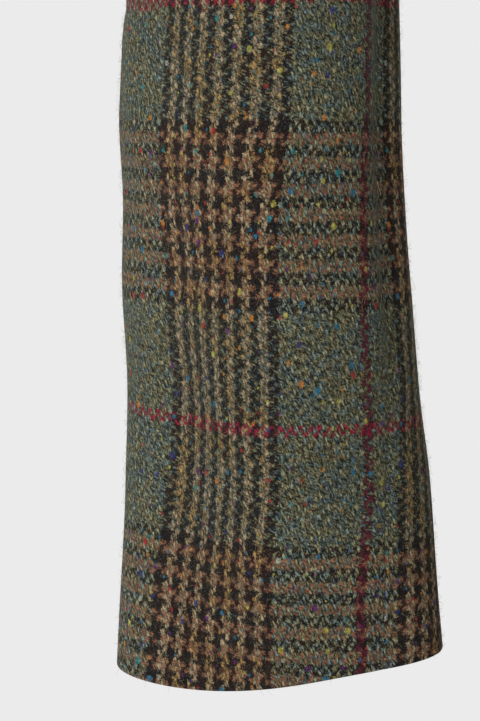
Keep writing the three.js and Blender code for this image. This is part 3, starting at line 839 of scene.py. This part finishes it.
def collar_root(share):
    angle = mix(180, 90, np.clip(share / COLLAR_SIDE_SHARE, 0, 1))
    zero = np.zeros_like(angle)
    point = body_point(angle, zero)
    outward = unit(body_normal(angle, zero - 1) * (1, 1, 0))
    open_way = unit(np.array((0, 0, 1)) - outward * COLLAR_OPENNESS)
    t = np.clip((share - COLLAR_SIDE_SHARE) / (1 - COLLAR_SIDE_SHARE), 0, 1)
    gorge_height = GORGE_HEIGHT * np.maximum(t, GORGE_START_SHARE) ** CORNER_EASE
    _, edge, edge_open, edge_normal = front_edge_frame(gorge_height, False)
    turn = smooth(0, 1, t)[..., None]
    in_front = (share > COLLAR_SIDE_SHARE)[..., None]
    point = np.where(in_front, edge, point)
    outward = np.where(in_front, unit(mix(outward, edge_normal, turn)), outward)
    open_way = np.where(in_front, unit(mix(open_way, edge_open, turn)), open_way)
    return point, outward, open_way


def collar_face(u, v):
    around = 2 * v - 1
    share = np.abs(around)
    point, outward, open_way = collar_root(share)
    shape = row_at(COLLAR_SHAPE, share)
    normal = unit(outward - times((outward * open_way).sum(axis=-1), open_way))
    root = point + open_way * TURN_GAP - normal * WALL
    outer = row_at(COLLAR_OUTER, share)
    t = np.clip((share - COLLAR_TIP_SHARE) / (1 - COLLAR_TIP_SHARE), 0, 1)
    past = share > COLLAR_TIP_SHARE
    angle = np.where(past, mix(TIP_ANGLE, NOTCH_ANGLE, t), outer["angle"])
    height = np.where(past, mix(COLLAR_TIP[1], NOTCH[1], t), outer["rise"])
    lie = body_normal(angle, height)
    edge = body_point(angle, height) + lie * (LAY_GAP + WALL + COLLAR_EXTRA_LAY)
    fold = root + times(shape["stand"], open_way) + times(2 * shape["radius"], normal)
    bulge = mix(normal, lie, 0.5)

    def fall(along):
        rise = COLLAR_BULGE * np.sin(np.pi * along)
        return mix(fold, edge, along[..., None]) + times(rise, bulge)

    turned = turned_edge(root, open_way, normal, stand=shape["stand"], radius=shape["radius"],
                         stand_share=0.28, fold_share=0.3, fall_point=fall, t=u)
    return turned * spot(np.where(around < 0, -1, 1), 1, 1)


collar = cloth_piece("collar_cloth", collar_face, laid_grain(first_end=36, first_pick=3),
                     columns=60, rows=150, trim=("top", "bottom"))
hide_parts("collar")

# Pocket flaps One on each front below the waist, sewn in along its top edge and lying flat.

FLAP_TOP = -498
FLAP_DEPTH = 54
FLAP_FROM = 17
FLAP_TO = 60
FLAP_DROP = 7
FLAP_CORNER_START = 0.86
FLAP_CORNER_CUT = 0.9


def flap_place(u, v):
    corner = 1 - np.maximum(0, np.abs(2 * u - 1) - FLAP_CORNER_START) * FLAP_CORNER_CUT
    top = FLAP_TOP - FLAP_DROP * u
    return mix(FLAP_FROM, FLAP_TO, u), mix(top - FLAP_DEPTH * corner, top, v)


for side in (1, -1):
    def flap_face(u, v, is_upper=side > 0):
        angle, height = flap_place(u, v)
        return front_point(angle, height, LAY_GAP + WALL, is_upper)

    flap = cloth_piece(f"pocket_flap_{side_name(side)}_cloth", flap_face,
                       body_grain(flap_place, 0, FRONT_FIRST_END), columns=80, rows=30, side=side)
    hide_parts(f"pocket_flap_{side_name(side)}")

# Sleeves
# Two-piece sleeves, each a top sleeve and an under sleeve with a seam in front and one behind,
# set into the armhole. The cuffs are plain, with no vent and no buttons.

BICEPS_HEIGHT = -240
CUFF_HEIGHT = -665
CUFF_SLANT = 7.5
CUFF_LOW_SIDE = 75
SLANT_START_HEIGHT = -520
FRONT_SLEEVE_SEAM = -49
BACK_SLEEVE_SEAM = 148
ARMHOLE_GAP = -0.4
CAP_SHARE = 0.27
CAP_REACH = 0.95
CAP_OUT = 0.94
CAP_FORE = 0.24
CAP_DOWN = 0.42
CAP_DOWN_CHANGE = 0.14
CAP_ARRIVAL = 6

# Sizes round a sleeve at each height: where its middle is, its two half widths, how far it is
# turned, and how much of a soft corner it has and where.
SLEEVE_SECTIONS = {
    "height": (-670, -600, -565, -530, -495, -460, -390, -310, -240),
    "out": (284, 285, 286, 288, 290, 292, 291, 261, 234),
    "fore": (-39, -37, -33, -28, -22, -17, -6, 7, 9),
    "long": (63, 59, 58, 59, 58, 59, 61, 63, 67),
    "short": (31, 36, 40, 44, 45, 47, 48, 51, 53),
    "turn": (-77, -70, -61, -52, -46, -40, -22, -8, 0),
    "corner": (1.5, 3.5, 4, 4, 3, 2.5, 2, 1, 0),
    "corner_turn": (-12, 4, 3, 0, -5, -8, -8, 0, 0),
}
SLEEVE_FOLDS = [
    (-50, -455, 0, 95, 7, -3.5),
    (-68, -450, 0, 90, 7, 2),
    (-30, -352, 62, 46, 11, -5),
    (-38, -386, 74, 38, 10, -4),
    (40, -330, -48, 55, 14, -3),
    (150, -372, 66, 50, 12, -3.5),
    (205, -300, 40, 60, 14, -4),
    (-75, -290, 30, 52, 12, -4),
]
SLEEVE_CREASES = [
    (-49, -560, 0, 120, 3.2, -0.5),
    (18, -520, 8, 44, 12, -0.8),
    (60, -585, -6, 40, 14, -0.8),
    (95, -470, 12, 48, 13, -1.2),
    (10, -385, 66, 30, 7, -1.6),
    (70, -360, -60, 34, 8, -1.6),
    (120, -410, 62, 34, 8, -1.8),
    (170, -560, 6, 60, 13, -1.4),
    (215, -480, -10, 60, 12, -1.6),
    (240, -380, 58, 40, 9, -2),
]

# Where stripes of the check cross each height of the top sleeve, from its front seam: the
# burgundy pair, and a tan end at each side of the band. At other heights they run on.
CHECK_ON_SLEEVE = {
    "height": (-632, -597, -562, -527, -492, -457, -431),
    "burgundy": (8.5, 7.5, 10, 14.3, 13.7, 11, 11),
    "near_tan": (47.5, 46, 49, 51.5, 50, 47, 46.5),
    "far_tan": (87, 84.5, 88, 93, 94, 91, 90.5),
}
NEAR_TAN_END = 27
FAR_TAN_END = 3
BEYOND_PITCH = 2.2
UNDER_FIRST_END = -3


def sleeve_section(around, height):
    section = row_at(SLEEVE_SECTIONS, height)
    turn = around - section["turn"]
    ellipse = 1 / np.hypot(cos(turn) / section["long"], sin(turn) / section["short"])
    corner = section["corner"] * cos(3 * (around - section["corner_turn"]))
    fold = fold_depth(SLEEVE_FOLDS + SLEEVE_CREASES, around, height, section["long"])
    radius = ellipse + corner + fold
    share = smooth(SLANT_START_HEIGHT, CUFF_HEIGHT, height)
    slant = CUFF_SLANT * cos(around - CUFF_LOW_SIDE) * share
    return spot(section["out"] + radius * sin(around),
                section["fore"] - radius * cos(around), height - slant)


def sleeve_cap(around, t):
    """The top of a sleeve, curved from the armhole to the round of the upper arm."""
    start = body_point(armhole_angle(around), armhole_height(around))
    down = CAP_DOWN - CAP_DOWN_CHANGE * sin(around)
    leave = unit(spot(CAP_OUT, -CAP_FORE * cos(around), -down))
    start = start + leave * ARMHOLE_GAP
    level = np.full_like(around, BICEPS_HEIGHT, dtype=float)
    end = sleeve_section(around, level)
    arrive = unit(sleeve_section(around, level - CAP_ARRIVAL) - end)
    reach = np.linalg.norm(end - start, axis=-1) * CAP_REACH
    at_start, start_slope, at_end, end_slope = hermite(t)
    return (times(at_start, start) + times(reach * start_slope, leave)
            + times(at_end, end) + times(reach * end_slope, arrive))


def sleeve_point(around, along):
    around, along = np.broadcast_arrays(np.asarray(around, float), np.asarray(along, float))
    cap = sleeve_cap(around, np.clip(along / CAP_SHARE, 0, 1))
    lower = np.clip((along - CAP_SHARE) / (1 - CAP_SHARE), 0, 1)
    section = sleeve_section(around, mix(BICEPS_HEIGHT, CUFF_HEIGHT, lower))
    return np.where((along < CAP_SHARE)[..., None], cap, section)


def top_face(u, v):
    return sleeve_point(mix(FRONT_SLEEVE_SEAM, BACK_SLEEVE_SEAM, u), v)


def under_face(u, v):
    return sleeve_point(mix(BACK_SLEEVE_SEAM, 360 + FRONT_SLEEVE_SEAM, u), v)


def sleeve_picks(v, points):
    """The weft runs level round the sleeve; over the cap it follows the cloth's length."""
    _, down = along_edges(points)
    cap_rows = (v[:, 0] < CAP_SHARE).sum()
    above = down[cap_rows] - down
    return picks_at(np.where(v < CAP_SHARE, points[cap_rows, :, 2] + above, points[..., 2]))


def top_grain(u, v, points):
    """The stripes lean a little as the cloth is drawn round the arm."""
    across, _ = along_edges(points)
    stripe = row_at(CHECK_ON_SLEEVE, points[..., 2])
    burgundy_end = BURGUNDY_FIRST + 1
    near_pitch = (stripe["near_tan"] - stripe["burgundy"]) / (burgundy_end - NEAR_TAN_END)
    far_pitch = (stripe["far_tan"] - stripe["near_tan"]) / (NEAR_TAN_END - FAR_TAN_END)
    near = burgundy_end - (across - stripe["burgundy"]) / near_pitch
    far = NEAR_TAN_END - (across - stripe["near_tan"]) / far_pitch
    beyond = FAR_TAN_END - (across - stripe["far_tan"]) / BEYOND_PITCH
    ends = np.where(across < stripe["near_tan"], near,
                    np.where(across < stripe["far_tan"], far, beyond))
    return ends * END_PITCH, sleeve_picks(v, points)


def under_grain(u, v, points):
    """The green beside the front seam, and then the next band."""
    across, _ = along_edges(points)
    from_seam = across[:, -1:] - across
    return UNDER_FIRST_END * END_PITCH + from_seam, sleeve_picks(v, points)


for side in (1, -1):
    top = cloth_piece(f"top_sleeve_{side_name(side)}_cloth", top_face, top_grain, columns=110,
                      rows=200, side=side, flip=True, trim=("left", "right"))
    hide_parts(f"top_sleeve_{side_name(side)}")
    under = cloth_piece(f"under_sleeve_{side_name(side)}_cloth", under_face, under_grain,
                        columns=66, rows=200, side=side, flip=True, trim=("left", "right"))
    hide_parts(f"under_sleeve_{side_name(side)}")

# Nap
# Loose ends of wool that stand out of the milled face and show along edges and folds. They are
# on the right sleeve, which the camera looks at closely.

FIBRE_DOUBLINGS = 13
FIBRE_RADIUS = 0.045
FIBRE_TIP_SHARE = 0.35
FIBRE_LENGTHS = (1.2, 3.6)
FIBRE_LIFT = 1.8
FIBRE_LIFT_SHARES = (0.25, 1.0)
FIBRE_LIFT_EASE = 1.5
FIBRE_ARCH = 2.2
FIBRE_ROOT_DEPTH = 0.15
FIBRE_CURL = 0.8
FIBRE_EDGE_MARGIN = 0.005
FIBRE_COLOURS = [
    (0.35, (0.05, 0.055, 0.035)),
    (0.50, (0.17, 0.17, 0.12)),
    (0.62, (0.34, 0.30, 0.2)),
]


def fibre_finish():
    finish = Finish("wool_fibre")
    place = finish.node("ShaderNodeTexCoord", {}, {}, "Object")
    tone = finish.noise(place, 260.0, 1.0, dimensions="3D")
    colour = finish.ramp(tone, FIBRE_COLOURS)
    finish.set_shader(Base_Color=colour, Roughness=0.9, Specular_IOR_Level=0.15)
    return finish.material


wool_fibre = fibre_finish()


def fibre_mesh(name):
    """Many copies of one thin, three-sided fibre, and the places of its first points."""
    fibre = bmesh.new()
    bmesh.ops.create_cone(fibre, cap_ends=True, segments=3, radius1=1.0,
                          radius2=FIBRE_TIP_SHARE, depth=1.0)
    upright = [edge for edge in fibre.edges if abs(edge.verts[0].co.z - edge.verts[1].co.z) > 0.5]
    bmesh.ops.subdivide_edges(fibre, edges=upright, cuts=2, use_grid_fill=True)
    template = np.array([vert.co[:] for vert in fibre.verts])
    for _ in range(FIBRE_DOUBLINGS):
        bmesh.ops.duplicate(fibre, geom=fibre.verts[:] + fibre.edges[:] + fibre.faces[:])
    mesh = bpy.data.meshes.new(name)
    fibre.to_mesh(mesh)
    fibre.free()
    return mesh, template


def nap_piece(name, face, side, seed, low, high):
    """Fine fibres on a face, between two shares of its length."""
    mesh, template = fibre_mesh(name)
    count = 2 ** FIBRE_DOUBLINGS
    draw = np.random.default_rng(seed)
    u = draw.uniform(FIBRE_EDGE_MARGIN, 1 - FIBRE_EDGE_MARGIN, count)
    v = low + (high - low) * draw.uniform(0, 1, count)
    point = face(u, v)
    outward = -normal_of(face, u, np.minimum(v, 1 - STEP))
    level = unit(np.cross(outward, (0, 0, 1)))
    heading = draw.uniform(0, 2 * np.pi, count)
    lie = times(np.cos(heading), level) + times(np.sin(heading), unit(np.cross(level, outward)))
    length = draw.uniform(*FIBRE_LENGTHS, count)
    lift = FIBRE_LIFT * draw.uniform(*FIBRE_LIFT_SHARES, count) ** FIBRE_LIFT_EASE
    curl = draw.uniform(-FIBRE_CURL, FIBRE_CURL, count)
    t = (template[:, 2] + 0.5)[None, :, None]
    cross = np.cross(outward, lie)
    rise = lift[:, None, None] * np.sin(FIBRE_ARCH * t) - FIBRE_ROOT_DEPTH
    path = (point[:, None] + lie[:, None] * length[:, None, None] * t
            + outward[:, None] * rise
            + cross[:, None] * (curl[:, None, None] * t * t))
    width = FIBRE_RADIUS * (cross[:, None] * template[None, :, :1]
                            + outward[:, None] * template[None, :, 1:2])
    place = (path + width) * (side, 1, 1) * MM
    mesh.vertices.foreach_set("co", place.ravel())
    mesh.update()
    turned = bmesh.new()
    turned.from_mesh(mesh)
    bmesh.ops.recalc_face_normals(turned, faces=turned.faces[:])
    turned.to_mesh(mesh)
    turned.free()
    return linked(name, mesh, wool_fibre)


nap_piece("nap_top_sleeve_right", top_face, side=-1, seed=3, low=0.3, high=1.0)
nap_piece("nap_under_sleeve_right", under_face, side=-1, seed=5, low=0.3, high=1.0)

# Buttons
# Two dark horn-look buttons, each turned from a blank with four holes and a raised rim. They
# keep their solids' form and get a streaked, softly polished finish.

HORN_COLOURS = [
    (0.36, (0.018, 0.010, 0.006)),
    (0.52, (0.055, 0.030, 0.015)),
    (0.68, (0.16, 0.095, 0.05)),
]


def horn_finish():
    finish = Finish("horn_look")
    place = finish.node("ShaderNodeTexCoord", {}, {}, "Object")
    grain = finish.noise(place, 130.0, 4.0, distortion=1.2, dimensions="3D")
    colour = finish.ramp(grain, HORN_COLOURS)
    fine = finish.noise(place, 1800.0, 2.0, dimensions="3D")
    bump = finish.node("ShaderNodeBump", {},
                       {"Strength": 0.2, "Distance": 0.2 * MM, "Height": fine})
    finish.set_shader(Base_Color=colour, Roughness=0.32 + grain * 0.2, Normal=bump)
    return finish.material


horn = horn_finish()
for name in ("button_1", "button_2"):
    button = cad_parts[name]
    button.data.materials.clear()
    button.data.materials.append(horn)

# Stage
# A close view of the lower part of the wearer's right sleeve, in soft light from the left,
# before a plain pale ground.

CAMERA_PLACE = (-299.5, -685, -463)
CAMERA_PITCH = 7.9
LENS = 88.1
SENSOR_WIDTH = 36
PALE = 0.831
AMBIENT = 0.42
FLOOR_HEIGHT = -1.45
FLOOR_RADIUS = 3.0

camera_data = bpy.data.cameras.new("camera")
camera_data.lens = LENS
camera_data.sensor_width = SENSOR_WIDTH
camera_data.clip_start = 0.01
camera = bpy.data.objects.new("camera", camera_data)
bpy.context.scene.collection.objects.link(camera)
camera.location = Vector(CAMERA_PLACE) * MM
camera.rotation_euler = (math.radians(90 - CAMERA_PITCH), 0, 0)
bpy.context.scene.camera = camera

world = bpy.data.worlds.new("studio")
bpy.context.scene.world = world
world.use_nodes = True
sky = world.node_tree.nodes["Background"]
ray = world.node_tree.nodes.new("ShaderNodeLightPath")
level = world.node_tree.nodes.new("ShaderNodeMix")
level.inputs["A"].default_value = AMBIENT
level.inputs["B"].default_value = PALE
world.node_tree.links.new(ray.outputs["Is Camera Ray"], level.inputs["Factor"])
world.node_tree.links.new(level.outputs["Result"], sky.inputs["Strength"])
sky.inputs["Color"].default_value = (1, 1, 1, 1)
bpy.context.scene.view_settings.view_transform = "Standard"


def soft_light(name, place, target, size, power):
    data = bpy.data.lights.new(name, "AREA")
    data.shape = "DISK"
    data.size = size
    data.energy = power
    lamp = bpy.data.objects.new(name, data)
    bpy.context.scene.collection.objects.link(lamp)
    lamp.location = place
    aim = Vector(target) - Vector(place)
    lamp.rotation_euler = aim.to_track_quat("-Z", "Y").to_euler()


soft_light("key", (-1.9, -1.7, 0.9), target=(-0.25, 0, -0.45), size=1.4, power=60)
soft_light("fill", (1.2, -2.4, 0.3), target=(0, 0, -0.4), size=1.6, power=14)
soft_light("back", (0.6, 2.4, 0.8), target=(0, 0, -0.4), size=1.6, power=40)

stage = bmesh.new()
bmesh.ops.create_circle(stage, cap_ends=True, radius=FLOOR_RADIUS, segments=96)
bmesh.ops.translate(stage, verts=stage.verts[:], vec=(0, 0, FLOOR_HEIGHT))
floor_mesh = bpy.data.meshes.new("floor")
stage.to_mesh(floor_mesh)
stage.free()
floor = bpy.data.objects.new("floor", floor_mesh)
bpy.context.scene.collection.objects.link(floor)
pale_floor = Finish("pale_floor")
pale_floor.set_shader(Base_Color=(0.0, 0.0, 0.0), Roughness=1.0, Specular_IOR_Level=0.0,
                      Emission_Color=(1.0, 1.0, 1.0), Emission_Strength=PALE)
floor.data.materials.append(pale_floor.material)
